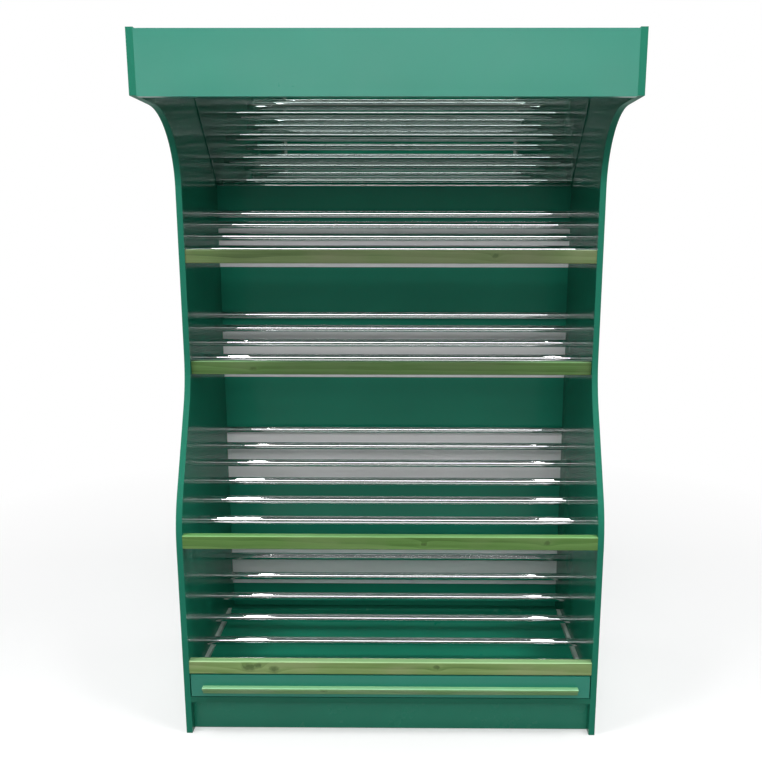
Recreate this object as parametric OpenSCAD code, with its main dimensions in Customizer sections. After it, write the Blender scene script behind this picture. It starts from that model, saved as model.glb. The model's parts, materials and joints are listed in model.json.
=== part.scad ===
// Bread and produce display stand. Two shaped side panels carry four sloping
// shelves of chrome tubes, each with a wooden front rail, a mirror that leans
// out under a header, and a wide shallow crumb drawer above the plinth.
// Millimetres. The origin is the middle of the outer box at floor level, +Z is
// up and the shopper stands on the -Y side.

/* [Cabinet] */
// Overall width over the two side panels
stand_w = 1250; // [1000:10:1400]
// Height of the side panels
stand_h = 1995; // [1985:5:2060]
// Depth of the side panels at the base
base_depth = 622; // [616:1:640]
// How far the upper half steps back from the base
upper_step = 176; // [165:1:185]
// How far the header stands out in front of the base
header_out = 168; // [120:1:190]
// Thickness of the green laminated boards
board_t = 18; // [17:1:20]
// Thickness of the back panel and of the board behind the mirror
back_t = 16; // [12:1:18]

/* [Side profile] */
// Height of the panel's nose at the header
nose_h = 157; // [152:1:165]
// Radius of the curve under the header
cove_r = 200; // [150:5:210]
// Height where the upper front edge starts to sweep forward
sweep_top = 1140; // [1120:5:1160]
// Angle of the sweep from the vertical
sweep_angle = 25; // [22:1:27]
// Radius of the two bends of the sweep
sweep_r = 350; // [300:5:360]

/* [Header] */
// Height of the front board of the header
fascia_h = 156; // [146:1:158]
// How far the side panels stand above the header
header_reveal = 3; // [1:0.5:8]
// Thickness of the mirror glass
mirror_t = 4; // [3:1:6]
// Rise of the mirror's face, from the back panel to the top board
mirror_rise = 308; // [300:1:316]
// Thickness of the adhesive between the mirror and its board
mirror_glue = 0.4; // [0.3:0.1:0.8]
// Gap between the mirror and each side panel
mirror_gap = 2.5; // [1:0.5:5]
// Gap between the mirror's ends and the back panel and the top board
mirror_end = 0.7; // [0.5:0.1:3]

/* [Tube shelves] */
// Slope of the shelves towards the shopper
shelf_slope = 25; // [23:0.5:26]
// Outer diameter of the chrome tubes
tube_d = 25; // [22:0.5:25.5]
// Wall of the chrome tubes
tube_wall = 1; // [0.8:0.1:2]
// Gap between the front tube of an upper shelf and its rail, which sets the tubes' distance
tube_front_gap = 48; // [44:1:60]
// Depth of the sockets that hold the tubes in the side panels
socket_depth = 10; // [6:1:12]
// Clearance round a tube in its socket, and at its ends
socket_fit = 0.1; // [0.05:0.05:0.2]
// Gap between the hindmost tube and the strip behind it
strip_gap = 1; // [0.5:0.5:3]
// How far each shelf's front tube stands over the line of the other tubes
front_rise = 11.5; // [6:0.5:13]
// Gap between the lowest tube and the drawer runners under it
drawer_gap = 14; // [12:0.5:20]
// Drop from the foot of the mirror's face to the top shelf's hindmost tube
top_shelf_drop = 94; // [88:1:106]
// Rise to the second shelf from the third, and to the third from the lowest
shelf_rise = [415, 413]; // [390:1:430]

/* [Front rails] */
// Height of the wooden rails
rail_h = 40; // [35:1:44]
// Thickness of the wooden rails
rail_t = 25; // [20:1:28]
// Radius on the long edges of the rails
rail_edge_r = 2.5; // [1:0.5:4]
// Height of the upper three rails' undersides over the underside of their shelf's front tube
rail_lift = [1.5, 12.5, 16.5]; // [1:0.5:18]
// How far each rail sits behind the panels' front edge, top shelf first
rail_inset = [2, 12, 1, 1]; // [1:1:15]

/* [Back strips] */
// Thickness of the wipe-down strips on the back panel
strip_t = 4; // [3:1:6]
// Height of each strip, top shelf first
strip_h = [148, 176, 200, 176]; // [120:1:210]
// Drop from the hindmost tube's axis to each strip's lower edge, top shelf first
strip_drop = [181, 224, 204, 186]; // [170:1:230]

/* [Base and drawer] */
// Height of the plinth under the bottom board
plinth_h = 104; // [90:1:110]
// How far the plinth sits behind the front edges
plinth_recess = 30; // [10:1:60]
// Distance from the rear plinth board to the back panel
rear_recess = 60; // [20:5:100]
// Height of the drawer's front board
drawer_front_h = 70.5; // [69.5:0.5:71.5]
// Gap under the drawer's front board
drawer_under_gap = 2.5; // [2:0.5:3]
// Gap at each end of the drawer's front board
drawer_end_gap = 3.5; // [2:0.5:5]
// Length of the drawer's metal sides
drawer_l = 500; // [450:10:540]
// Gap between the drawer's front board and the lowest rail
drawer_over_gap = 3.5; // [2:0.5:5]
// Height of the drawer's bottom edge above its front's lower edge
tray_lift = 3; // [1:0.5:5]
// Thickness of the drawer's bottom board
drawer_bottom_t = 12; // [10:1:14]
// Side play of the bottom and back boards between the metal sides
board_play = 0.2; // [0.1:0.1:0.5]
// Thickness of the drawer's back board
drawer_back_t = 16; // [12:1:18]
// Sheet thickness of the drawer's metal sides and of the runners
sheet_t = 1.2; // [1:0.1:1.5]
// Gap between the runner's pin and the drawer's metal side
side_clear = 1.1; // [0.6:0.1:2]
// Width of the ledge that carries the drawer's bottom board
side_ledge_w = 12; // [8:1:20]

/* [Roller runners] */
// Height of the runner above the drawer front's lower edge
runner_lift = 7; // [5.5:0.5:9]
// Width of the runner's two flanges
runner_flange_w = 9; // [8.5:0.5:10]
// Distance from the drawer front's back to the runner
runner_start = 4; // [2:1:10]
// Length of the runner, less than the drawer's sides
runner_short = 10; // [5:1:20]
// Clear height over the drawer's flange inside the runner
runner_head = 1.8; // [1:0.2:3]
// Diameter of the nylon rollers
roller_d = 17.6; // [16:0.2:17.6]
// Width of the nylon rollers
roller_w = 5; // [4:0.5:5.5]
// Running gap above and below a roller
roller_gap = 0.3; // [0.2:0.05:0.5]
// Gap between a roller and the runner's web
roller_side_gap = 1.5; // [1.5:0.1:2]
// Depth of the crown and of the dished side of a roller
roller_crown = 0.6; // [0.4:0.1:1]
// Wall of a roller round its dished side
roller_wall = 2; // [1.5:0.5:3]
// Diameter of the roller pins
pin_d = 5; // [4:0.5:6]
// Running clearance between a roller and its pin
pin_fit = 0.05; // [0.02:0.01:0.1]
// How far a pin stands out of its roller
pin_over = 1.5; // [0.5:0.5:1.5]
// Distance from the drawer front to the fixed roller
roller_front = 20; // [15:1:30]
// Distance from the drawer's rear end to its own roller
roller_back = 12; // [10:1:20]

/* [Drawer pull] */
// Distance from the drawer pull's ends to the side panels' inner faces
pull_end = 40; // [20:1:80]
// Height of the pull
pull_h = 23; // [20:1:26]
// How far the pull stands out at the top
pull_out = 16; // [14:1:20]
// How far the pull stands out at the bottom
pull_foot = 5; // [4:1:7]
// Distance from the drawer front's top edge down to the pull
pull_drop = 35; // [30:1:40]
// Thickness of the lip along the pull's front edge
pull_lip = 6; // [4:0.5:8]
// Radius of the finger hollow under the pull
pull_hollow_r = 24; // [15:1:40]
// Size of the eased corner at the pull's top edge
pull_ease = 1; // [0.5:0.5:2]

/* [Fasteners] */
// Length of the confirmat screws that join the panels
screw_l = 50; // [45:5:60]
// Diameter of the screws' plain shank
shank_d = 7; // [6.5:0.5:7]
// Diameter of the screws' thread
thread_d = 5; // [4.5:0.5:5]
// Diameter of the screws' countersunk head
head_d = 10; // [9:0.5:11]
// Depth of the screws' countersunk head
head_h = 2.5; // [2:0.5:4]
// Hexagon key of the screws
key_w = 4; // [3:0.5:5]
// Depth of the hexagon in the screws' head
key_depth = 2; // [1:0.5:3]
// Clearance round every screw in its hole
screw_fit = 0.05; // [0.02:0.01:0.15]
// How much deeper the pilot holes are than the screws
pilot_over = 2; // [1:0.5:4]
// Distance between the two screws in each end of the header's front board
fascia_screw_gap = 100; // [60:5:120]
// Distance between the screws in the top and bottom boards
board_screw_gap = 240; // [150:5:240]
// Distance between the screws in the back panel
back_screw_gap = 300; // [200:10:300]
// Difference in height of the two screws in the mirror's board
mirror_screw_gap = 160; // [100:10:200]
// Diameter of the screws of the runners and of the pull
small_d = 3.5; // [3:0.5:4]
// Diameter of the small screws' heads
small_head_d = 7; // [6:0.5:7.5]
// Thickness of the runner screws' flat heads
small_head_h = 1.2; // [1:0.1:1.2]
// How deep the runner screws bite into the side panels
runner_bite = 12; // [8:1:14]
// Distance between the runner screws
runner_screw_gap = 170; // [100:10:180]
// How deep the pull's screws bite into the pull
pull_bite = 9; // [6:1:10]
// Depth of the pull screws' countersunk heads
pull_screw_head = 2; // [1.5:0.5:3]
// Distance from the pull's top down to its screws
pull_screw_drop = 6.5; // [5:0.5:7]

/* [Hidden] */
$fn = 64;

// Planes of the cabinet
base_y = (header_out - base_depth) / 2;
back_y = base_y + base_depth;
upper_y = base_y + upper_step;
header_y = base_y - header_out;
in_x = stand_w / 2 - board_t;
nose_z = stand_h - nose_h;
header_top = stand_h - header_reveal;
top_under = header_top - board_t;
back_face = back_y - back_t;
strip_face = back_face - strip_t;
floor_top = plinth_h + board_t;
mirror_foot = top_under - mirror_rise;

// How far a cut runs past the face it opens
over = 1;

// The sweep: where its two bends meet the straight slope
bend_y = sweep_r * (1 - cos(sweep_angle));
bend_z = sweep_r * sin(sweep_angle);
sweep_a = [upper_y - bend_y, sweep_top - bend_z];
sweep_run = upper_step - 2 * bend_y;
sweep_b = [base_y + bend_y, sweep_a[1] - sweep_run / tan(sweep_angle)];
sweep_low = sweep_b[1] - bend_z;
sweep_corner = [base_y, sweep_low + sweep_r * tan(sweep_angle / 2)];

// Tubes: hindmost first, each one step further down the slope
tubes = [5, 5, 7, 7];
tube_r = tube_d / 2;
tube_1_y = strip_face - strip_gap - tube_r;
tube_front_y = upper_y + rail_inset[0] + rail_t + tube_front_gap + tube_r;
step_y = (tube_1_y - tube_front_y) / (tubes[0] - 1);
step_z = step_y * tan(shelf_slope);
front_z = floor_top + drawer_under_gap;
runner_z = front_z + runner_lift;
roller_z = runner_z + sheet_t + roller_gap + roller_d / 2;
flange_z = roller_z + roller_d / 2 + roller_gap;
runner_top = flange_z + sheet_t + runner_head + sheet_t;
shelf_4_z = runner_top + drawer_gap + tube_r - front_rise + (tubes[3] - 1) * step_z;
shelf_3_z = shelf_4_z + shelf_rise[1];
shelf_2_z = shelf_3_z + shelf_rise[0];
shelf_z = [mirror_foot - top_shelf_drop, shelf_2_z, shelf_3_z, shelf_4_z];
function tube_lift(shelf, n) = n == tubes[shelf - 1] ? front_rise : 0;
function tube_yz(shelf, n) =
  [tube_1_y - (n - 1) * step_y, shelf_z[shelf - 1] - (n - 1) * step_z + tube_lift(shelf, n)];
function rail_z(shelf) = shelf == 4 ? front_z + drawer_front_h + drawer_over_gap
  : tube_yz(shelf, tubes[shelf - 1])[1] - tube_r + rail_lift[shelf - 1];
function rail_y(shelf) = (shelf < 3 ? upper_y : base_y) + rail_inset[shelf - 1];
function strip_z(shelf) = shelf_z[shelf - 1] - strip_drop[shelf - 1];

// The mirror leans at 45 degrees: Y + Z is the same all over a plane of the glass
function mirror_line(depth) = back_face + mirror_foot + depth * sqrt(2);

// Drawer and runner, measured inwards from the side panel's inner face
drawer_y = base_y + board_t;
roller_in = sheet_t + roller_side_gap;
flange_in = roller_in - board_play;
side_web = roller_in + roller_w + pin_over + side_clear + sheet_t;
board_half = in_x - side_web - board_play;
tray_z = front_z + tray_lift;
bottom_z = tray_z + sheet_t;
runner_y = drawer_y + runner_start;
runner_l = drawer_l - runner_short;
roller_front_y = drawer_y + roller_front;
roller_back_y = drawer_y + drawer_l - roller_back;
runner_mid = runner_y + runner_l / 2;
runner_screw_y = [for (k = [-1 : 1]) runner_mid + k * runner_screw_gap];

// Pull along the drawer's front
pull_half = in_x - pull_end;
pull_top = front_z + drawer_front_h - pull_drop;
pull_screw_z = pull_top - pull_screw_drop;
pull_screw_x = [for (k = [-1.5 : 1.5]) k * pull_half / 2];

// Screw points [Y, Z] in the side panels, board by board
mid_fascia = [header_y + board_t / 2, header_top - fascia_h / 2];
mid_top = [(header_y + board_t + back_face) / 2, top_under + board_t / 2];
mid_back = [back_face + back_t / 2, (plinth_h + header_top) / 2];
mid_floor = [(base_y + back_face) / 2, plinth_h + board_t / 2];
mid_mirror = (mirror_foot + top_under) / 2;
mirror_bed = mirror_t + mirror_glue;
mirror_core = mirror_line(mirror_bed + back_t / 2);
rear_plinth_y = back_face - rear_recess - board_t;
fascia_screws = [for (k = [-0.5, 0.5]) mid_fascia + [0, k * fascia_screw_gap]];
top_screws = [for (k = [-1 : 1]) mid_top + [k * board_screw_gap, 0]];
back_screws = [for (k = [-2.5 : 2.5]) mid_back + [0, k * back_screw_gap]];
floor_screws = [for (k = [-1 : 1]) mid_floor + [k * board_screw_gap, 0]];
plinth_screws = [[base_y + plinth_recess + board_t / 2, plinth_h / 2]];
rear_screws = [[rear_plinth_y + board_t / 2, plinth_h / 2]];
rail_screws = [for (s = [1 : 4]) [rail_y(s) + rail_t / 2, rail_z(s) + rail_h / 2]];
mirror_screws = [for (k = [-0.5, 0.5])
  [mirror_core - mid_mirror - k * mirror_screw_gap, mid_mirror + k * mirror_screw_gap]];
all_screws = concat(fascia_screws, top_screws, back_screws, floor_screws, plinth_screws,
  rear_screws, rail_screws, mirror_screws);

// Holes for the screws
shank_hole = shank_d + 2 * screw_fit;
pilot_hole = thread_d + 2 * screw_fit;
small_hole = small_d + 2 * screw_fit;

// Colours
green = [0.16, 0.48, 0.40];
stained = [0.45, 0.50, 0.26];
chrome = [0.80, 0.82, 0.84];
melamine = [0.78, 0.78, 0.76];
steel = [0.66, 0.68, 0.68];
nylon = [0.93, 0.93, 0.90];
glass = [0.70, 0.78, 0.80];

// Turns a [Y, Z] outline into a board that runs from x0 to x1
module along_x(x0, x1) {
  translate([x0, 0, 0]) rotate([90, 0, 90]) linear_extrude(x1 - x0) children();
}

// A round bar along X from x0 to x1
module rod_x(x0, x1, d, at) {
  translate([x0, at[0], at[1]]) rotate([0, 90, 0]) cylinder(h = x1 - x0, d = d);
}

// Copies a right-hand piece to the left
module left_of() {
  mirror([1, 0, 0]) children();
}

// A rectangle with four true round corners, lower corner at the origin
module round_rect(w, h, r) {
  translate([r, 0]) square([w - 2 * r, h]);
  translate([0, r]) square([w, h - 2 * r]);
  for (x = [r, w - r], y = [r, h - r]) translate([x, y]) circle(r);
}

// Pilot holes in the two ends of a board, a little deeper than the screws
module pilots(points) {
  for (p = points, side = [0, 1]) mirror([side, 0, 0])
    rod_x(stand_w / 2 - screw_l - pilot_over, stand_w / 2, pilot_hole, p);
}

// The side panel's outline: plain back, nose at the header, cove and sweep
module side_outline() {
  translate([upper_y, 0]) square([back_y - upper_y, stand_h]);
  translate([header_y, nose_z]) square([upper_y - header_y + over, nose_h]);
  difference() {
    translate([upper_y - cove_r, nose_z - cove_r]) square(cove_r + over);
    translate([upper_y - cove_r, nose_z - cove_r]) circle(cove_r, $fn = 180);
  }
  difference() {
    polygon([[upper_y + over, 0], [upper_y + over, sweep_top], [upper_y, sweep_top], sweep_a,
      sweep_corner, [base_y, 0]]);
    translate([upper_y - sweep_r, sweep_top]) circle(sweep_r, $fn = 180);
    difference() {
      polygon([sweep_b, sweep_corner - [over, 0], [base_y - over, sweep_low], [base_y, sweep_low]]);
      translate([base_y + sweep_r, sweep_low]) circle(sweep_r, $fn = 180);
    }
  }
}

// Right-hand side panel with its tube sockets and countersunk screw holes
module side_panel() {
  difference() {
    along_x(in_x, stand_w / 2) side_outline();
    for (s = [1 : 4], n = [1 : tubes[s - 1]])
      rod_x(in_x - over, in_x + socket_depth, tube_d + 2 * socket_fit, tube_yz(s, n));
    for (p = all_screws) {
      rod_x(in_x - over, stand_w / 2 + over, shank_hole, p);
      translate([stand_w / 2 - head_h, p[0], p[1]]) rotate([0, 90, 0])
        cylinder(h = head_h, d1 = shank_hole, d2 = head_d + 2 * screw_fit);
    }
    for (y = runner_screw_y)
      rod_x(in_x - over, in_x + runner_bite + over, small_hole, [y, roller_z]);
  }
}

module side_panel_right() { color(green) side_panel(); }
module side_panel_left() { color(green) left_of() side_panel(); }

// Front board of the header, level with the panels' front edges
module header_fascia() {
  color(green) difference() {
    along_x(-in_x, in_x) translate([header_y, header_top - fascia_h]) square([board_t, fascia_h]);
    pilots(fascia_screws);
  }
}

// Top board, from the fascia back to the back panel
module top_board() {
  color(green) difference() {
    along_x(-in_x, in_x) translate([header_y + board_t, top_under])
      square([back_face - header_y - board_t, board_t]);
    pilots(top_screws);
  }
}

// Leaning board behind the mirror, bevelled to sit on the back panel and under the top
module mirror_board() {
  front = mirror_line(mirror_bed);
  rear = mirror_line(mirror_bed + back_t);
  color(green) difference() {
    along_x(-in_x, in_x) polygon([[back_face, front - back_face], [back_face, rear - back_face],
      [rear - top_under, top_under], [front - top_under, top_under]]);
    pilots(mirror_screws);
  }
}

// The mirror glass, square cut, glued to its board
module mirror_glass() {
  end = mirror_end + mirror_t / sqrt(2);
  rise = top_under - mirror_foot - 2 * end;
  color(glass) along_x(-in_x + mirror_gap, in_x - mirror_gap)
    translate([back_face - end, mirror_foot + end]) rotate(45)
      square([mirror_t, rise * sqrt(2)]);
}

// Back panel behind the strips, between the side panels
module back_panel() {
  color(green) difference() {
    along_x(-in_x, in_x) translate([back_face, plinth_h]) square([back_t, header_top - plinth_h]);
    pilots(back_screws);
  }
}

// Light strip on the back panel, behind one shelf of tubes
module back_strip(shelf) {
  color(melamine) along_x(-in_x, in_x)
    translate([strip_face, strip_z(shelf)]) square([strip_t, strip_h[shelf - 1]]);
}

// Wooden front rail, all long edges eased
module front_rail(shelf) {
  color(stained) difference() {
    along_x(-in_x, in_x) translate([rail_y(shelf), rail_z(shelf)])
      round_rect(rail_t, rail_h, rail_edge_r);
    pilots([rail_screws[shelf - 1]]);
  }
}

// Chrome tube, let into a socket at each end
module tube(shelf, n) {
  reach = in_x + socket_depth - socket_fit;
  color(chrome) difference() {
    rod_x(-reach, reach, tube_d, tube_yz(shelf, n));
    rod_x(-reach - over, reach + over, tube_d - 2 * tube_wall, tube_yz(shelf, n));
  }
}

module bottom_board() {
  color(green) difference() {
    along_x(-in_x, in_x) translate([base_y, plinth_h]) square([back_face - base_y, board_t]);
    pilots(floor_screws);
  }
}

module plinth_rail(y, screws) {
  color(green) difference() {
    along_x(-in_x, in_x) translate([y, 0]) square([board_t, plinth_h]);
    pilots(screws);
  }
}

// Confirmat screw, head outwards, with a hexagon socket
module confirmat(at) {
  out = stand_w / 2;
  translate([0, at[0], at[1]]) rotate([0, 90, 0]) difference() {
    union() {
      translate([0, 0, out - screw_l]) cylinder(h = screw_l - board_t, d = thread_d);
      translate([0, 0, out - board_t]) cylinder(h = board_t - head_h, d = shank_d);
      translate([0, 0, out - head_h]) cylinder(h = head_h, d1 = shank_d, d2 = head_d);
    }
    translate([0, 0, out - key_depth])
      cylinder(h = key_depth + over, d = key_w / cos(30), $fn = 6);
  }
}

module cabinet_screws() {
  color(steel) for (p = all_screws, side = [0, 1]) mirror([side, 0, 0]) confirmat(p);
}

// Cabinet half of the roller runner: a channel open inwards, with a pin at the front
module runner() {
  flange_x = in_x - runner_flange_w;
  color(steel) difference() {
    union() {
      translate([in_x - sheet_t, runner_y, runner_z]) cube([sheet_t, runner_l, runner_top - runner_z]);
      translate([flange_x, runner_y, runner_z]) cube([runner_flange_w, runner_l, sheet_t]);
      translate([flange_x, runner_y, runner_top - sheet_t]) cube([runner_flange_w, runner_l, sheet_t]);
      rod_x(in_x - roller_in - roller_w - pin_over, in_x - sheet_t / 2, pin_d,
        [roller_front_y, roller_z]);
    }
    for (y = runner_screw_y)
      rod_x(in_x - sheet_t - over, in_x + over, small_hole, [y, roller_z]);
  }
}

module runner_screws() {
  color(steel) for (y = runner_screw_y, side = [0, 1]) mirror([side, 0, 0]) {
    rod_x(in_x - sheet_t, in_x + runner_bite, small_d, [y, roller_z]);
    rod_x(in_x - sheet_t - small_head_h, in_x - sheet_t, small_head_d, [y, roller_z]);
  }
}

// Nylon roller, crowned at both edges and dished on its inner side, with a bore for its pin
module roller(at) {
  bore = pin_d + 2 * pin_fit;
  translate([in_x - roller_in - roller_w, at[0], at[1]]) rotate([0, 90, 0]) color(nylon)
    rotate_extrude() polygon([[bore / 2, 0], [bore / 2 + roller_wall, 0],
      [bore / 2 + roller_wall, roller_crown], [roller_d / 2 - roller_wall, roller_crown],
      [roller_d / 2 - roller_wall, 0], [roller_d / 2 - roller_crown, 0],
      [roller_d / 2, roller_crown], [roller_d / 2, roller_w - roller_crown],
      [roller_d / 2 - roller_crown, roller_w], [bore / 2, roller_w]]);
}

// Drawer front, drilled and countersunk from behind for the pull's screws
module drawer_front() {
  half = in_x - drawer_end_gap;
  sink = small_head_d + 2 * screw_fit;
  color(green) difference() {
    along_x(-half, half) translate([base_y, front_z]) square([board_t, drawer_front_h]);
    for (x = pull_screw_x) translate([x, base_y, pull_screw_z]) rotate([-90, 0, 0]) {
      translate([0, 0, -over]) cylinder(h = board_t + 2 * over, d = small_hole);
      translate([0, 0, board_t - pull_screw_head])
        cylinder(h = pull_screw_head, d1 = small_hole, d2 = sink);
    }
  }
}

// Wooden pull along the whole drawer: flat top, hollowed underneath for the fingers
module drawer_pull() {
  color(stained) difference() {
    along_x(-pull_half, pull_half) difference() {
      translate([base_y, pull_top]) polygon([[0, 0], [pull_ease - pull_out, 0],
        [-pull_out, -pull_ease], [-pull_out, -pull_lip], [-pull_foot, -pull_h], [0, -pull_h]]);
      translate(hollow_centre) circle(pull_hollow_r, $fn = 96);
    }
    for (x = pull_screw_x) translate([x, base_y - pull_bite - over, pull_screw_z])
      rotate([-90, 0, 0]) cylinder(h = pull_bite + 2 * over, d = small_hole);
  }
}

// Centre of the finger hollow, in front of the line from the lip to the foot
hollow_a = [base_y - pull_out, pull_top - pull_lip];
hollow_b = [base_y - pull_foot, pull_top - pull_h];
hollow_l = norm(hollow_b - hollow_a);
hollow_out = [hollow_b[1] - hollow_a[1], hollow_a[0] - hollow_b[0]] / hollow_l;
hollow_centre = (hollow_a + hollow_b) / 2
  + hollow_out * sqrt(pull_hollow_r * pull_hollow_r - hollow_l * hollow_l / 4);

module pull_screws() {
  color(steel) for (x = pull_screw_x) translate([x, base_y, pull_screw_z]) rotate([-90, 0, 0]) {
    translate([0, 0, -pull_bite]) cylinder(h = pull_bite + board_t - pull_screw_head, d = small_d);
    translate([0, 0, board_t - pull_screw_head])
      cylinder(h = pull_screw_head, d1 = small_d, d2 = small_head_d);
  }
}

// Metal drawer side: top flange that runs on the fixed roller, ledge for the bottom board
module drawer_side() {
  web_x = in_x - side_web;
  module fold(x, z, w, h) { translate([x, drawer_y, z]) cube([w, drawer_l, h]); }
  color(steel) union() {
    fold(web_x, tray_z, sheet_t, flange_z + sheet_t - tray_z);
    fold(web_x, flange_z, side_web - flange_in, sheet_t);
    fold(web_x - side_ledge_w, tray_z, side_ledge_w + sheet_t, sheet_t);
    rod_x(web_x + sheet_t / 2, in_x - roller_in + board_play / 2, pin_d, [roller_back_y, roller_z]);
  }
}

module drawer_back() {
  z0 = bottom_z + drawer_bottom_t;
  color(green) along_x(-board_half, board_half)
    translate([drawer_y + drawer_l - drawer_back_t, z0])
      square([drawer_back_t, flange_z + sheet_t - z0]);
}

module drawer_bottom() {
  color(green) along_x(-board_half, board_half)
    translate([drawer_y, bottom_z]) square([drawer_l, drawer_bottom_t]);
}

side_panel_left();
side_panel_right();
header_fascia();
top_board();
mirror_board();
mirror_glass();  // mirror
back_panel();
back_strip(1);  // back_strip_1
back_strip(2);  // back_strip_2
back_strip(3);  // back_strip_3
back_strip(4);  // back_strip_4
front_rail(1);  // front_rail_1
front_rail(2);  // front_rail_2
front_rail(3);  // front_rail_3
front_rail(4);  // front_rail_4
tube(1, 1);  // shelf_1_tube_1
tube(1, 2);  // shelf_1_tube_2
tube(1, 3);  // shelf_1_tube_3
tube(1, 4);  // shelf_1_tube_4
tube(1, 5);  // shelf_1_tube_5
tube(2, 1);  // shelf_2_tube_1
tube(2, 2);  // shelf_2_tube_2
tube(2, 3);  // shelf_2_tube_3
tube(2, 4);  // shelf_2_tube_4
tube(2, 5);  // shelf_2_tube_5
tube(3, 1);  // shelf_3_tube_1
tube(3, 2);  // shelf_3_tube_2
tube(3, 3);  // shelf_3_tube_3
tube(3, 4);  // shelf_3_tube_4
tube(3, 5);  // shelf_3_tube_5
tube(3, 6);  // shelf_3_tube_6
tube(3, 7);  // shelf_3_tube_7
tube(4, 1);  // shelf_4_tube_1
tube(4, 2);  // shelf_4_tube_2
tube(4, 3);  // shelf_4_tube_3
tube(4, 4);  // shelf_4_tube_4
tube(4, 5);  // shelf_4_tube_5
tube(4, 6);  // shelf_4_tube_6
tube(4, 7);  // shelf_4_tube_7
bottom_board();
plinth_rail(base_y + plinth_recess, plinth_screws);  // plinth
plinth_rail(rear_plinth_y, rear_screws);  // rear_plinth
cabinet_screws();
left_of() runner();  // runner_left
runner();  // runner_right
runner_screws();
left_of() roller([roller_front_y, roller_z]);  // runner_roller_left
roller([roller_front_y, roller_z]);  // runner_roller_right
drawer_front();
drawer_pull();
pull_screws();
left_of() drawer_side();  // drawer_side_left
drawer_side();  // drawer_side_right
drawer_back();
drawer_bottom();
left_of() roller([roller_back_y, roller_z]);  // drawer_roller_left
roller([roller_back_y, roller_z]);  // drawer_roller_right
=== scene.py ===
"""Looks of the produce display stand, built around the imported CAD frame.

Metres, +Z up, the shopper on the -Y side, the origin in the middle of the stand at floor level.
"""

import json
import math

import bmesh
import bpy
from mathutils import Matrix, Vector

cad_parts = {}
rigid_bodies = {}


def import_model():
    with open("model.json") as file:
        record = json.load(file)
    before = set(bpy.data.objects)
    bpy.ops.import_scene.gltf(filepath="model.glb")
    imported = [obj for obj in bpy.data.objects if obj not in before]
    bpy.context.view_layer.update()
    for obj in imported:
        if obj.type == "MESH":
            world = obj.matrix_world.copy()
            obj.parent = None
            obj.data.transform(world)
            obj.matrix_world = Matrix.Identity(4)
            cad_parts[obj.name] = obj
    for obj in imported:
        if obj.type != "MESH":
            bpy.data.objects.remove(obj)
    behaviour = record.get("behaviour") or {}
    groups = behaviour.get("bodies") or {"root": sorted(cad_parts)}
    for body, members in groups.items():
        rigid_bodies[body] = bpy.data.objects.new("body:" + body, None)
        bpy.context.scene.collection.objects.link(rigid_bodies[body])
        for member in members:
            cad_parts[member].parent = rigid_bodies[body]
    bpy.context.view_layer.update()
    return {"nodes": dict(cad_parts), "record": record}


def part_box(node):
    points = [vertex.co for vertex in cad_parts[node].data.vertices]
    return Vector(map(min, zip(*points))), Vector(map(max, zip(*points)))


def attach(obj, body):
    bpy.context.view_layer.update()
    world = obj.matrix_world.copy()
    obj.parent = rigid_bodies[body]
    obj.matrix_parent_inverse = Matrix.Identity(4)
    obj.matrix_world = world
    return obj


for thing in list(bpy.data.objects):
    bpy.data.objects.remove(thing)

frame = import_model()
nodes = frame["nodes"]
scene = bpy.context.scene
scene.view_settings.view_transform = "Standard"


# Node helpers

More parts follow.
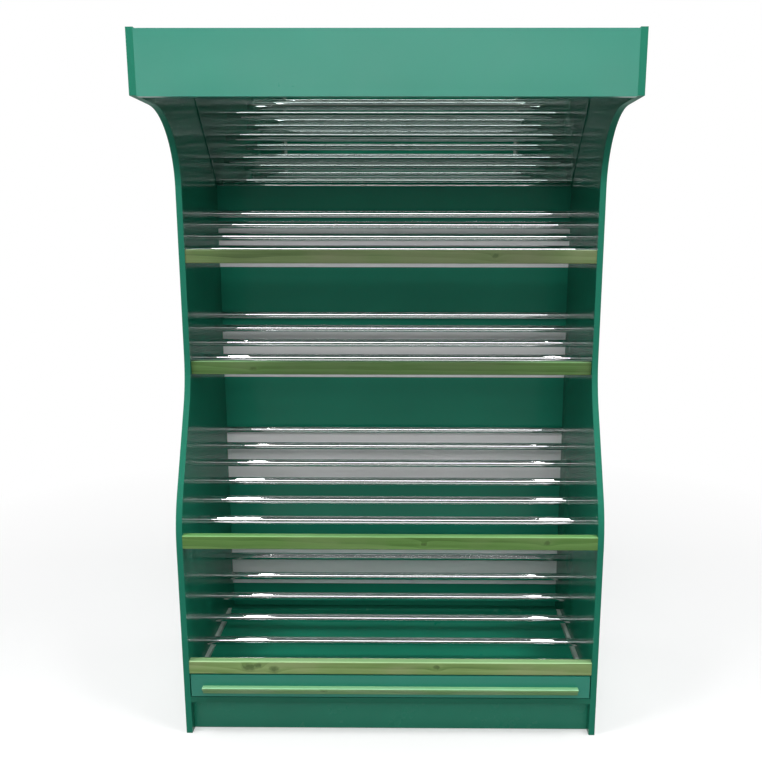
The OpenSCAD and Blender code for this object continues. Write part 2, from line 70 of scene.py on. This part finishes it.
class Tree:
    """A small wrapper that adds nodes to one node tree and links them."""

    def __init__(self, tree):
        self.tree = tree
        tree.nodes.clear()

    def add(self, kind, **settings):
        node = self.tree.nodes.new("ShaderNode" + kind)
        for key, value in settings.items():
            setattr(node, key, value)
        return node

    def link(self, source, node, socket):
        self.tree.links.new(source, node.inputs[socket])

    def math(self, operation, a, b=None, clamp=False):
        node = self.add("Math", operation=operation, use_clamp=clamp)
        for index, value in enumerate((a, b)):
            if value is None:
                continue
            if isinstance(value, (int, float)):
                node.inputs[index].default_value = value
            else:
                self.link(value, node, index)
        return node.outputs[0]

    def noise(self, vector, scale, detail, rough):
        node = self.add("TexNoise")
        node.inputs["Scale"].default_value = scale
        node.inputs["Detail"].default_value = detail
        node.inputs["Roughness"].default_value = rough
        self.link(vector, node, "Vector")
        return node.outputs["Fac"]

    def ramp(self, factor, stops):
        node = self.add("ValToRGB")
        band = node.color_ramp
        while len(band.elements) < len(stops):
            band.elements.new(0.5)
        for element, (place, colour) in zip(band.elements, stops):
            element.position = place
            element.color = (*colour, 1.0)
        self.link(factor, node, "Fac")
        return node.outputs["Color"]

    def span(self, value, low, high, to_low, to_high):
        node = self.add("MapRange")
        limits = {"From Min": low, "From Max": high, "To Min": to_low, "To Max": to_high}
        for name, number in limits.items():
            node.inputs[name].default_value = number
        self.link(value, node, "Value")
        return node.outputs["Result"]

    def mix(self, factor, a, b):
        node = self.add("Mix", data_type="RGBA")
        for index, value in ((0, factor), (6, a), (7, b)):
            if isinstance(value, (int, float)):
                node.inputs[index].default_value = value
            elif isinstance(value, tuple):
                node.inputs[index].default_value = (*value, 1.0)
            else:
                self.link(value, node, index)
        return node.outputs[2]

    def bump(self, height, strength, distance):
        node = self.add("Bump")
        node.inputs["Strength"].default_value = strength
        node.inputs["Distance"].default_value = distance
        self.link(height, node, "Height")
        return node.outputs["Normal"]

    def stretched(self, scale, offset=(0.0, 0.0, 0.0)):
        place = self.add("TexCoord").outputs["Object"]
        node = self.add("Mapping")
        node.inputs["Scale"].default_value = scale
        node.inputs["Location"].default_value = offset
        self.link(place, node, "Vector")
        return node.outputs["Vector"]

    def axes(self, vector):
        """The X, Y and Z of a vector."""
        node = self.add("SeparateXYZ")
        self.link(vector, node, "Vector")
        return node.outputs

    def facing(self):
        """The X, Y and Z of the surface's normal."""
        return self.axes(self.add("NewGeometry").outputs["Normal"])

    def centred(self, value, width):
        """A value from 0 to 1, moved to lie about 0 and stretched to the given width."""
        return self.math("MULTIPLY", self.math("SUBTRACT", value, 0.5), width)

    def viewed(self, path):
        """1 for camera, glossy and transmission rays, which see the plain background."""
        bounced = self.math("MAXIMUM", path["Is Glossy Ray"], path["Is Transmission Ray"])
        return self.math("MAXIMUM", path["Is Camera Ray"], bounced)


def tinted(colour, tint):
    """A colour multiplied by a tint, which is one number or one for each channel."""
    if isinstance(tint, (int, float)):
        tint = (tint, tint, tint)
    return tuple(a * b for a, b in zip(colour, tint))


def material(name, **values):
    """A material with one Principled shader whose plain values are set on its sockets."""
    mat = bpy.data.materials.new(name)
    mat.use_nodes = True
    tree = Tree(mat.node_tree)
    out = tree.add("OutputMaterial")
    shader = tree.add("BsdfPrincipled")
    for key, value in values.items():
        shader.inputs[key.replace("_", " ")].default_value = value
    tree.link(shader.outputs["BSDF"], out, "Surface")
    return mat, tree, shader


def laminate(name, face, rough, gloss, edge=None):
    """Glossy laminate on board. With an edge colour, only faces across X are laminate.

    The others are edge band."""
    mat, tree, shader = material(name, Specular_IOR_Level=gloss)
    place = tree.stretched((1.0, 1.0, 1.0))
    cloud = tree.noise(place, 2.2, 3.0, 0.55)
    colour = tree.ramp(cloud, [(0.3, tinted(face, 0.93)), (0.7, tinted(face, 1.06))])
    smear = tree.noise(place, 9.0, 6.0, 0.6)
    matt = tree.span(smear, 0.3, 0.7, rough * 0.9, rough * 1.12)
    if edge is not None:
        across = tree.math("ABSOLUTE", tree.facing()["X"])
        band = tree.math("LESS_THAN", across, 0.9)
        colour = tree.mix(band, colour, edge)
        matt = tree.math("MAXIMUM", matt, tree.math("MULTIPLY", band, 0.5))
    tree.link(colour, shader, "Base Color")
    tree.link(matt, shader, "Roughness")
    peel = tree.noise(place, 420.0, 2.0, 0.5)
    tree.link(tree.bump(peel, 0.06, 0.0004), shader, "Normal")
    return mat


# Tones of the stained wood, from the dark lines of the rings to the pale wood between them
WOOD_TONES = (
    (0.22, (0.045, 0.085, 0.018)),
    (0.42, (0.105, 0.165, 0.045)),
    (0.62, (0.160, 0.225, 0.080)),
    (0.85, (0.240, 0.300, 0.130)),
)
WOOD_TAN = (0.200, 0.215, 0.105)
WOOD_KNOT = (0.045, 0.085, 0.020)
# Painted light: the paler colour given to the tops of the wooden pieces, as if lit from above
PAINTED_TOP_LIGHT = (0.205, 0.400, 0.205)
# Painted highlight: the pale colour along the front edge of a wooden top
PAINTED_EDGE_HIGHLIGHT = (0.330, 0.470, 0.240)
ARRIS_NEAR = 0.001  # how far behind the front face the painted highlight along the edge is at its brightest
ARRIS_FAR = 0.007  # and how far behind it the painted highlight ends


def stained(name, seed, front, knots, tint):
    """Green-stained softwood along X: growth rings, fibre, streaks and knots at (x, z, radius).

    The top is made paler as painted light from above, palest in a painted highlight along its front
    edge at the given Y."""
    mat, tree, shader = material(name, Specular_IOR_Level=0.35)
    place = tree.add("TexCoord").outputs["Object"]
    x, y, z = tree.axes(place)
    drift = (seed, seed * 0.7, seed * 1.3)
    bend = tree.centred(tree.noise(tree.stretched((1.3, 9.0, 9.0), drift), 1.0, 3.0, 0.5), 0.03)
    ragged = tree.centred(tree.noise(place, 70.0, 4.0, 0.65), 0.018)
    core = None
    for kx, kz, radius in knots:
        dx = tree.math("MULTIPLY", tree.math("SUBTRACT", x, kx), 0.62)
        dz = tree.math("SUBTRACT", z, kz)
        squares = tree.math("ADD", tree.math("MULTIPLY", dx, dx), tree.math("MULTIPLY", dz, dz))
        far = tree.math("SQRT", squares)
        reach = tree.math("ADD", far, radius * 0.35)
        near = tree.math("DIVIDE", radius * 0.8, reach, clamp=True)
        push = tree.math("MULTIPLY", tree.math("MULTIPLY", near, near), 0.02)
        bend = tree.math("ADD", bend, push)
        torn = tree.math("ADD", far, ragged)
        heart = tree.span(torn, radius * 1.15, radius * 0.30, 0.0, 1.0)
        core = heart if core is None else tree.math("MAXIMUM", core, heart)
    joined = tree.add("CombineXYZ")
    tree.link(tree.math("MULTIPLY", x, 0.02), joined, "X")
    tree.link(tree.math("ADD", y, bend), joined, "Y")
    tree.link(tree.math("ADD", z, bend), joined, "Z")
    rings = tree.add("TexWave", wave_type="BANDS", bands_direction="DIAGONAL", wave_profile="SAW")
    rings.inputs["Scale"].default_value = 26.0
    rings.inputs["Distortion"].default_value = 1.6
    rings.inputs["Detail"].default_value = 2.0
    rings.inputs["Detail Scale"].default_value = 1.2
    rings.inputs["Phase Offset"].default_value = seed * 3.1
    tree.link(joined.outputs["Vector"], rings, "Vector")
    along = tree.stretched((9.0, 420.0, 420.0), (seed, seed, seed))
    fibre = tree.noise(along, 1.0, 5.0, 0.6)
    along = tree.stretched((1.6, 60.0, 60.0), (seed * 2.0, seed, seed))
    streak = tree.noise(along, 1.0, 4.0, 0.55)
    along = tree.stretched((5.0, 14.0, 14.0), (seed, seed * 3.0, seed))
    patch = tree.noise(along, 1.0, 3.0, 0.5)
    tone = tree.math("MULTIPLY", rings.outputs["Fac"], 0.20)
    tone = tree.math("ADD", tone, tree.math("MULTIPLY", fibre, 0.30))
    tone = tree.math("ADD", tone, tree.math("MULTIPLY", streak, 0.50))
    colour = tree.ramp(tone, [(stop, tinted(shade, tint)) for stop, shade in WOOD_TONES])
    patches = tree.span(patch, 0.45, 0.70, 0.0, 0.65)
    colour = tree.mix(patches, colour, tinted(WOOD_TAN, tint))
    if core is not None:
        colour = tree.mix(tree.math("MULTIPLY", core, 0.75), colour, WOOD_KNOT)
    upward = tree.facing()["Z"]
    # Painted light: faces turned up are made paler, as if lit from above
    top_light_paint = tree.span(upward, 0.35, 0.85, 0.0, 0.35)
    colour = tree.mix(top_light_paint, colour, tinted(PAINTED_TOP_LIGHT, tint))
    # Painted highlight: a pale band along the front edge of the top
    edge_highlight_paint = tree.math("MULTIPLY", tree.span(y, front + ARRIS_FAR, front + ARRIS_NEAR, 0.0, 0.75),
                      tree.span(upward, 0.3, 0.7, 0.0, 1.0))
    colour = tree.mix(edge_highlight_paint, colour, tinted(PAINTED_EDGE_HIGHLIGHT, tint))
    tree.link(colour, shader, "Base Color")
    tree.link(tree.span(fibre, 0.3, 0.7, 0.38, 0.56), shader, "Roughness")
    relief = tree.math("ADD", tree.math("MULTIPLY", fibre, 0.6),
                       tree.math("MULTIPLY", rings.outputs["Fac"], 0.4))
    tree.link(tree.bump(relief, 0.25, 0.0005), shader, "Normal")
    return mat


CHROME = (0.86, 0.87, 0.88)


def polished(name, rough, seed):
    """Chrome with faint polishing lines round the tube and a few duller patches."""
    mat, tree, shader = material(name, Metallic=1.0)
    lines = tree.noise(tree.stretched((14.0, 90.0, 90.0), (seed, seed, 0.0)), 1.0, 3.0, 0.5)
    film = tree.noise(tree.stretched((7.0, 40.0, 40.0), (seed, 0.0, seed)), 1.0, 4.0, 0.6)
    tree.link(tree.span(film, 0.35, 0.75, rough * 0.8, rough * 1.4), shader, "Roughness")
    tree.link(tree.ramp(film, [(0.35, CHROME), (0.8, tinted(CHROME, 0.92))]), shader, "Base Color")
    tree.link(tree.bump(lines, 0.004, 0.0002), shader, "Normal")
    return mat


SILVER = (0.58, 0.68, 0.64)
SILVER_DULL = (0.55, 0.65, 0.61)
GLASS_EDGE = (0.06, 0.30, 0.22)


def silvered(name):
    """Mirror glass: silvered face, green polished edges."""
    mat, tree, shader = material(name, Specular_IOR_Level=0.5)
    facing = tree.facing()
    y, z = facing["Y"], facing["Z"]
    lean = tree.math("ADD", tree.math("ABSOLUTE", y), tree.math("ABSOLUTE", z))
    same = tree.math("GREATER_THAN", tree.math("MULTIPLY", y, z), 0.1)
    face = tree.math("GREATER_THAN", tree.math("MULTIPLY", lean, same), 1.3)
    haze = tree.noise(tree.stretched((4.0, 4.0, 4.0)), 3.0, 5.0, 0.6)
    silver = tree.ramp(haze, [(0.3, SILVER), (0.8, SILVER_DULL)])
    tree.link(tree.mix(face, GLASS_EDGE, silver), shader, "Base Color")
    tree.link(face, shader, "Metallic")
    tree.link(tree.span(haze, 0.3, 0.8, 0.004, 0.02), shader, "Roughness")
    return mat


def plain(name, colour, rough, grain, metallic=0.0, depth=0.08, spread=0.06):
    """A smooth surface with a fine texture and slightly uneven colour and gloss."""
    mat, tree, shader = material(name, Metallic=metallic, Specular_IOR_Level=0.4)
    place = tree.stretched((1.0, 1.0, 1.0))
    cloud = tree.noise(place, 12.0, 4.0, 0.6)
    low = tinted(colour, 1.0 - spread)
    tree.link(tree.ramp(cloud, [(0.3, low), (0.7, colour)]), shader, "Base Color")
    tree.link(tree.span(cloud, 0.3, 0.7, rough * 0.85, rough * 1.2), shader, "Roughness")
    fine = tree.noise(place, grain, 2.0, 0.5)
    tree.link(tree.bump(fine, depth, 0.0003), shader, "Normal")
    return mat


# Finishes

GREEN = (0.0135, 0.194, 0.120)
side_finish = laminate("laminate_side", GREEN, 0.15, 0.09, edge=(0.0145, 0.180, 0.113))
board_finish = laminate("laminate_board", GREEN, 0.26, 0.22)
# Painted shade: the bottom board is a darker copy of the green laminate
bottom_shaded_finish = laminate("laminate_floor_painted_shade", (0.009, 0.130, 0.078), 0.30, 0.15)
# Painted light: the drawer's floor is a lighter, less glossy copy of the green laminate
tray_lit_finish = laminate("laminate_tray_painted_light", (0.0125, 0.232, 0.140), 0.30, 0.08)
# Painted light: the back panel is a lighter copy of the green laminate
back_lit_finish = laminate("laminate_back_painted_light", (0.0150, 0.218, 0.138), 0.13, 0.25)
# Painted sheen: the fascia and drawer front are a lighter, whiter copy of the green laminate
front_sheen_finish = laminate("laminate_front_painted_sheen", (0.021, 0.216, 0.150), 0.30, 0.32)
white_finish = plain("laminate_white", (0.90, 0.875, 0.89), 0.36, 340.0, depth=0.05, spread=0.03)
coated_finish = plain("coated_steel", (0.50, 0.58, 0.53), 0.34, 900.0, depth=0.10)
zinc_finish = plain("zinc_steel", (0.60, 0.62, 0.62), 0.28, 900.0, metallic=1.0, depth=0.12)
nylon_finish = plain("nylon", (0.82, 0.82, 0.78), 0.45, 500.0)
mirror_finish = silvered("mirror_glass")

TUBE_ROUGH = 0.045
TUBE_SEED_STEP = 1.37

# For each wooden piece: the seed of its grain, its knots as (x, z, radius), and its tint
WOOD = {
    "front_rail_1": (1.7, [(0.31, 1.444, 0.007)], (0.92, 0.96, 1.00)),
    "front_rail_2": (4.3, [(-0.42, 1.104, 0.006)], (0.62, 0.88, 0.70)),
    "front_rail_3": (7.9, [(0.10, 0.615, 0.006), (0.46, 0.622, 0.008)], (0.80, 1.14, 0.84)),
    "front_rail_4": (
        2.6,
        [(-0.425, 0.221, 0.015), (-0.398, 0.228, 0.009), (-0.350, 0.214, 0.012),
         (0.14, 0.222, 0.008)],
        (1.45, 1.55, 1.55)),
    "drawer_pull": (9.4, [(-0.20, 0.150, 0.005)], (1.12, 1.52, 1.75)),
}


def dress(name, finish):
    """Puts one finish in all of a CAD node's material slots."""
    mesh = nodes[name].data
    if not mesh.materials:
        mesh.materials.append(finish)
    for index in range(len(mesh.materials)):
        mesh.materials[index] = finish


SLOT_FINISH = {
    "green_laminate": board_finish,
    "white_laminate": white_finish,
    "coated_steel": coated_finish,
    "zinc_steel": zinc_finish,
    "nylon": nylon_finish,
    "mirror": mirror_finish,
}
# Pieces with a finish of their own, before the slot's
NODE_FINISH = {
    "side_panel_left": side_finish,
    "side_panel_right": side_finish,
    "header_fascia": front_sheen_finish,
    "drawer_front": front_sheen_finish,
    "back_panel": back_lit_finish,
    "drawer_bottom": tray_lit_finish,
    "bottom_board": bottom_shaded_finish,
}
slot_of = {part["node"]: part["material_slot"] for part in frame["record"]["subparts"]}
tube_count = 0
for name in sorted(nodes):
    slot = slot_of[name]
    if name in NODE_FINISH:
        dress(name, NODE_FINISH[name])
    elif slot == "stained_wood":
        seed, knots, tint = WOOD[name]
        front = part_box(name)[0][1]
        dress(name, stained("wood_" + name, seed, front, knots, tint))
    elif slot == "chrome":
        tube_count += 1
        seed = tube_count * TUBE_SEED_STEP
        dress(name, polished("chrome_%02d" % tube_count, TUBE_ROUGH, seed))
    else:
        dress(name, SLOT_FINISH[slot])


# Bright half-round trim along the mirror's lower edge

TRIM_CENTRE = (0.3765, 1.6680)  # Y and Z
TRIM_RADIUS = 0.0024
TRIM_HALF_WIDTH = 0.6035
TRIM_TILT = math.radians(225.0)
TRIM_ROUGH = 0.06
TRIM_SEED = 0.4
TRIM_STEPS = 14
# The eased ends, as distances from the end with the section's size there
TRIM_ENDS = ((0.0, 0.72), (0.0006, 0.93), (0.0014, 1.0))


def half_round(name, centre, radius, half_width, tilt, steps):
    """A half-round bar along X with eased ends, its round side facing the way that tilt points."""
    stations = [(inset - half_width, size) for inset, size in TRIM_ENDS]
    stations += [(half_width - inset, size) for inset, size in reversed(TRIM_ENDS)]
    rings = []
    for x, size in stations:
        ring = []
        for step in range(steps + 1):
            angle = tilt - math.pi / 2.0 + math.pi * step / steps
            y = centre[0] + size * radius * math.cos(angle)
            z = centre[1] + size * radius * math.sin(angle)
            ring.append((x, y, z))
        rings.append(ring)
    points = [point for ring in rings for point in ring]
    count = steps + 1
    last = (len(rings) - 1) * count
    faces = [tuple(range(count))[::-1], tuple(range(last, last + count))]
    for row in range(len(rings) - 1):
        for step in range(count):
            a, b = row * count + step, row * count + (step + 1) % count
            faces.append((a, b, b + count, a + count))
    mesh = bpy.data.meshes.new(name)
    mesh.from_pydata(points, [], faces)
    mesh.validate()
    shape = bmesh.new()
    shape.from_mesh(mesh)
    bmesh.ops.recalc_face_normals(shape, faces=shape.faces)
    shape.to_mesh(mesh)
    shape.free()
    for face in mesh.polygons:
        face.use_smooth = len(face.vertices) == 4
    thing = bpy.data.objects.new(name, mesh)
    scene.collection.objects.link(thing)
    return thing


trim = half_round("mirror_trim", TRIM_CENTRE, TRIM_RADIUS, TRIM_HALF_WIDTH, TRIM_TILT,
                  TRIM_STEPS)
trim.data.materials.append(polished("chrome_trim", TRIM_ROUGH, TRIM_SEED))
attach(trim, "cabinet")


# Camera, fitted to the photograph

CAMERA_PLACE = Vector((0.06279, -2.40457, 1.51758))
YAW = -0.0069
PITCH = math.radians(10.8)
ROLL = 0.0013
FOCAL_PX = 790.35  # focal length
AXIS_PX = 406.27  # column of the lens axis
PHOTO_PX = 762.0  # width and height of the photograph
SENSOR_MM = 36.0

sin_yaw, cos_yaw = math.sin(YAW), math.cos(YAW)
sin_pitch, cos_pitch = math.sin(PITCH), math.cos(PITCH)
right = Vector((cos_yaw, -sin_yaw, 0.0))
ahead = Vector((sin_yaw * cos_pitch, cos_yaw * cos_pitch, -sin_pitch))
down = -Vector((sin_yaw * sin_pitch, cos_yaw * sin_pitch, cos_pitch))
rolled_right = math.cos(ROLL) * right - math.sin(ROLL) * down
rolled_down = math.sin(ROLL) * right + math.cos(ROLL) * down
turn = Matrix((rolled_right, -rolled_down, -ahead)).transposed()
lens = bpy.data.cameras.new("camera")
lens.sensor_width = SENSOR_MM
lens.lens = SENSOR_MM * FOCAL_PX / PHOTO_PX
lens.shift_x = (PHOTO_PX / 2.0 - AXIS_PX) / PHOTO_PX
camera = bpy.data.objects.new("camera", lens)
camera.matrix_world = Matrix.Translation(CAMERA_PLACE) @ turn.to_4x4()
scene.collection.objects.link(camera)
scene.camera = camera


# Floor, lamps and surroundings

FLOOR_HALF = 14.0
FLOOR_DROP = 0.0004  # a hair under the stand, so that no faces coincide
FLOOR_SEEN = (0.84, 0.84, 0.84)
FLOOR_BOUNCE = (0.32, 0.32, 0.32)  # what lights the stand from below
FLOOR_QUIET = (0.14, 0.14, 0.14)  # what metal and laminate mirror in front of the stand
GLOW_LEAST = 0.38  # share of plain white near the stand, where the shadow shows
PLAIN_FROM, PLAIN_TO = 1.2, 3.0  # distances over which the floor turns plain white
QUIET_FROM, QUIET_TO, QUIET_SHARE = -0.4, -1.4, 0.85  # along Y, in front of the stand


def floor_finish():
    """White floor, lit and shadowed near the stand, plain white further out where it is seen.

    Glossy rays see it dark in front of the stand, like a shop's floor, so the inside stays deep."""
    mat, tree, shader = material("floor_white", Roughness=0.9, Specular_IOR_Level=0.0)
    out = [n for n in tree.tree.nodes if n.type == "OUTPUT_MATERIAL"][0]
    glow = tree.add("Emission")
    glow.inputs["Strength"].default_value = 1.0
    place = tree.add("TexCoord").outputs["Object"]
    length = tree.add("VectorMath", operation="LENGTH")
    tree.link(place, length, 0)
    far = tree.span(length.outputs["Value"], PLAIN_FROM, PLAIN_TO, 0.0, 1.0)
    path = tree.add("LightPath").outputs
    seen = tree.viewed(path)
    front = tree.span(tree.axes(place)["Y"], QUIET_FROM, QUIET_TO, 0.0, QUIET_SHARE)
    quiet = tree.math("MULTIPLY", front, path["Is Glossy Ray"])
    shade = tree.mix(seen, FLOOR_BOUNCE, FLOOR_SEEN)
    tree.link(tree.mix(quiet, shade, FLOOR_QUIET), shader, "Base Color")
    rise = tree.math("MULTIPLY", far, 1.0 - GLOW_LEAST)
    share = tree.math("MULTIPLY", seen, tree.math("ADD", rise, GLOW_LEAST, clamp=True))
    share = tree.math("MULTIPLY", share, tree.math("SUBTRACT", 1.0, quiet))
    mixed = tree.add("MixShader")
    tree.link(share, mixed, "Fac")
    tree.link(shader.outputs["BSDF"], mixed, 1)
    tree.link(glow.outputs["Emission"], mixed, 2)
    tree.link(mixed.outputs["Shader"], out, "Surface")
    return mat


floor_mesh = bpy.data.meshes.new("floor")
signs = ((-1, -1), (1, -1), (1, 1), (-1, 1))
corners = [(FLOOR_HALF * a, FLOOR_HALF * b, 0.0) for a, b in signs]
floor_mesh.from_pydata(corners, [], [(0, 1, 2, 3)])
floor = bpy.data.objects.new("floor", floor_mesh)
floor.location.z = -FLOOR_DROP
floor_mesh.materials.append(floor_finish())
scene.collection.objects.link(floor)


def lamp(name, place, aim, size, power, mirrored=False, lights=True):
    """A rectangular lamp that the camera doesn't see, and metal only where it is mirrored."""
    light = bpy.data.lights.new(name, "AREA")
    light.shape = "RECTANGLE"
    light.size, light.size_y = size
    light.energy = power
    thing = bpy.data.objects.new(name, light)
    look = (Vector(aim) - Vector(place)).normalized()
    turned = look.to_track_quat("-Z", "Y").to_matrix().to_4x4()
    thing.matrix_world = Matrix.Translation(place) @ turned
    thing.visible_camera = False
    thing.visible_glossy = mirrored
    thing.visible_diffuse = lights
    scene.collection.objects.link(thing)


CEILING_Y, CEILING_Z = -0.90, 4.0
CEILING_LENGTH = 1.2
CEILING_POWER = 92.0
STRAIGHT = 0.001  # how far off the vertical it aims, so that its sides stay along X and Y


def ceiling_lamp(name, x, width):
    """A lamp over the shopper that points straight down and shows on the tubes."""
    lamp(name, (x, CEILING_Y, CEILING_Z), (x, CEILING_Y + STRAIGHT, 0.0),
         (width, CEILING_LENGTH), CEILING_POWER, mirrored=True)


ceiling_lamp("lamp_left", -1.37, 0.54)
ceiling_lamp("lamp_right", 1.33, 0.58)
lamp("lamp_window", (0.0, -3.4, 2.45), (0.0, 0.0, 1.2), (7.0, 0.34), 60.0,
     mirrored=True, lights=False)
lamp("lamp_low", (0.0, -7.0, 0.95), (0.0, 0.0, 0.95), (6.5, 1.0), 33.0)
lamp("lamp_mid", (0.0, -5.2, 3.6), (0.0, 0.0, 1.2), (2.4, 1.4), 100.0)
lamp("lamp_high", (0.0, -3.4, 4.2), (0.0, -0.2, 0.9), (3.0, 1.6), 36.0)
lamp("lamp_back", (0.0, 5.0, 3.2), (0.0, 0.4, 1.0), (3.0, 2.0), 75.0)
for side, sign in (("west", -1.0), ("east", 1.0)):
    lamp("lamp_" + side, (5.0 * sign, 1.2, 2.8), (0.6 * sign, 0.2, 1.0), (3.0, 2.0), 60.0)

AMBIENT = 0.126  # strength of the world's light on the stand
AMBIENT_COLOUR = (0.96, 0.98, 1.0, 1.0)
WHITE = (1.0, 1.0, 1.0)
ROOM = (0.13, 0.14, 0.14)  # what metal mirrors of the room in front of the stand

world = bpy.data.worlds.new("studio")
world.use_nodes = True
scene.world = world
sky = Tree(world.node_tree)
sky_out = sky.add("OutputWorld")
heading = sky.axes(sky.add("TexCoord").outputs["Generated"])
rays = sky.add("LightPath").outputs
# Metal sees white behind the stand, up to a slope over it, and the grey room everywhere else
behind = sky.span(heading["Y"], -0.25, 0.25, 0.0, 1.0)
low = sky.span(heading["Z"], 0.85, 0.60, 0.0, 1.0)
surroundings = sky.mix(sky.math("MULTIPLY", behind, low), ROOM, WHITE)
camera_white = sky.mix(rays["Is Camera Ray"], surroundings, WHITE)
ambient = sky.add("Background")
ambient.inputs["Color"].default_value = AMBIENT_COLOUR
ambient.inputs["Strength"].default_value = AMBIENT
visible = sky.add("Background")
sky.link(camera_white, visible, "Color")
both = sky.add("MixShader")
sky.link(sky.viewed(rays), both, "Fac")
sky.link(ambient.outputs["Background"], both, 1)
sky.link(visible.outputs["Background"], both, 2)
sky.link(both.outputs["Shader"], sky_out, "Surface")
